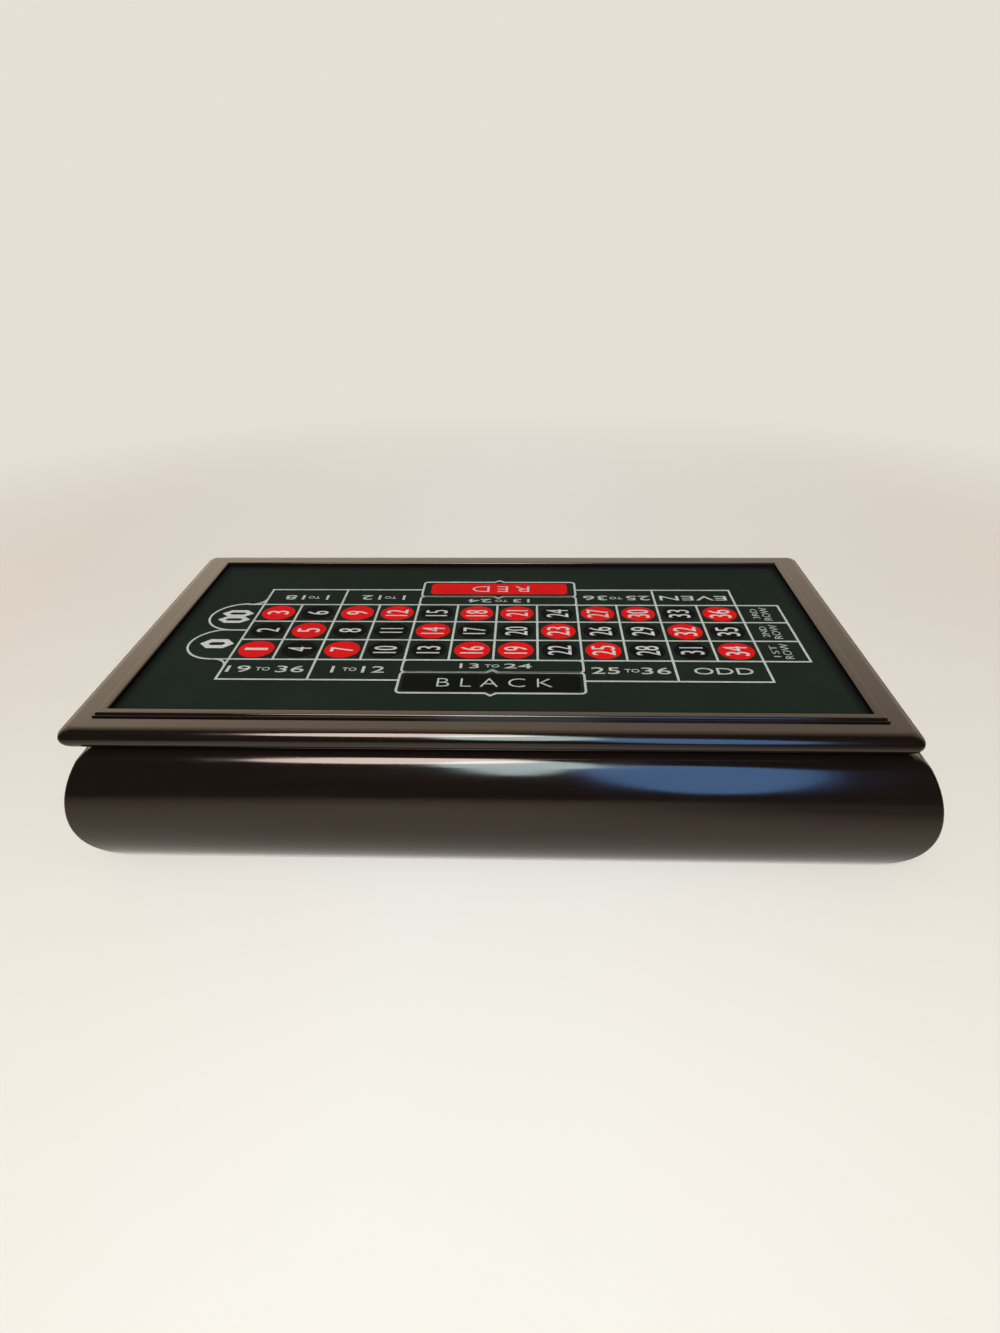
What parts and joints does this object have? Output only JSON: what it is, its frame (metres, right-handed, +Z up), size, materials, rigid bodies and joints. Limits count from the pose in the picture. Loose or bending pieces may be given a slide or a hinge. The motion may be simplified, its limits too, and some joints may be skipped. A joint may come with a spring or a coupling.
{
  "type": "roulette set case",
  "caption": "Bulged wooden case for a table roulette set, with a loose felt-topped lid, and wheel, chips, balls and rake inside.",
  "frame": {"origin": "on the table, under the middle of the base", "axes": "+X to the right along the long side, +Y to the back, +Z up"},
  "size_m": [0.471, 0.273, 0.0941],
  "materials": {
    "lacquered_wood": "dark espresso lacquer, semi-gloss",
    "stained_wood": "dark stain, satin",
    "plain_wood": "bare",
    "panel_wood": "thin dark stain",
    "layout_felt": "dark green felt with a printed layout",
    "lining_felt": "black felt",
    "deck_finish": "dark lacquer",
    "wheel_wood": "reddish-brown gloss lacquer",
    "cone_wood": "reddish-brown gloss lacquer",
    "tray_wood": "dark lacquer",
    "steel": "ground",
    "brass": "turned",
    "screw_brass": "plain",
    "chrome": "polished",
    "fret_metal": "satin",
    "ring_black": "gloss with coloured sectors",
    "pocket_colours": "gloss, red and black by turns",
    "rotor_black": "moulded",
    "chip_red": "moulded",
    "chip_blue": "moulded",
    "chip_green": "moulded",
    "chip_yellow": "moulded",
    "chip_white": "moulded",
    "chip_black": "moulded",
    "ball_white": "polished",
    "rake_wood": "clear lacquer"
  },
  "bodies": {
    "base": {"ball_deflectors": "chrome", "balls": "ball_white", "base_mitre_tongues": "plain_wood", "base_wall_back": "lacquered_wood", "base_wall_front": "lacquered_wood", "base_wall_left": "lacquered_wood", "base_wall_right": "lacquered_wood", "bottom_panel": "panel_wood", "bowl_screws": "screw_brass", "chip_tray": "tray_wood", "chips_black": "chip_black", "chips_blue": "chip_blue", "chips_green": "chip_green", "chips_red": "chip_red", "chips_white": "chip_white", "chips_yellow": "chip_yellow", "corner_blocks": "stained_wood", "deck_board": "deck_finish", "deck_ledges": "stained_wood", "deck_screws": "screw_brass", "floor_liner": "lining_felt", "foot_pads": "lining_felt", "rake_ferrule": "brass", "rake_handle": "rake_wood", "rake_head": "rake_wood", "spindle": "steel", "thrust_washer": "brass", "wheel_bowl": "wheel_wood"},
    "lid": {"batten_back": "stained_wood", "batten_front": "stained_wood", "batten_left": "stained_wood", "batten_right": "stained_wood", "batten_screws": "screw_brass", "bead_strip_back": "lacquered_wood", "bead_strip_front": "lacquered_wood", "bead_strip_left": "lacquered_wood", "bead_strip_right": "lacquered_wood", "layout_board": "plain_wood", "layout_felt": "layout_felt", "lid_lining": "lining_felt", "lid_mitre_tongues": "plain_wood", "lid_rail_back": "lacquered_wood", "lid_rail_front": "lacquered_wood", "lid_rail_left": "lacquered_wood", "lid_rail_right": "lacquered_wood"},
    "rotor": {"number_ring": "ring_black", "pocket_floor": "pocket_colours", "pocket_frets": "fret_metal", "rotor_bushing": "brass", "rotor_cone": "cone_wood", "rotor_disc": "rotor_black", "rotor_screws": "screw_brass", "turret_arms": "chrome", "turret_base": "chrome", "turret_finial": "chrome"}
  },
  "joints": [
    {"name": "lid_lift", "type": "slide", "parent": "base", "child": "lid", "axis": [0, 0, 1], "range_m": [0, 0.15]},
    {"name": "wheel_spin", "type": "hinge", "parent": "base", "child": "rotor", "pos_m": [-0.104, 0, 0.0235], "axis": [0, 0, 1], "continuous": true}
  ]
}
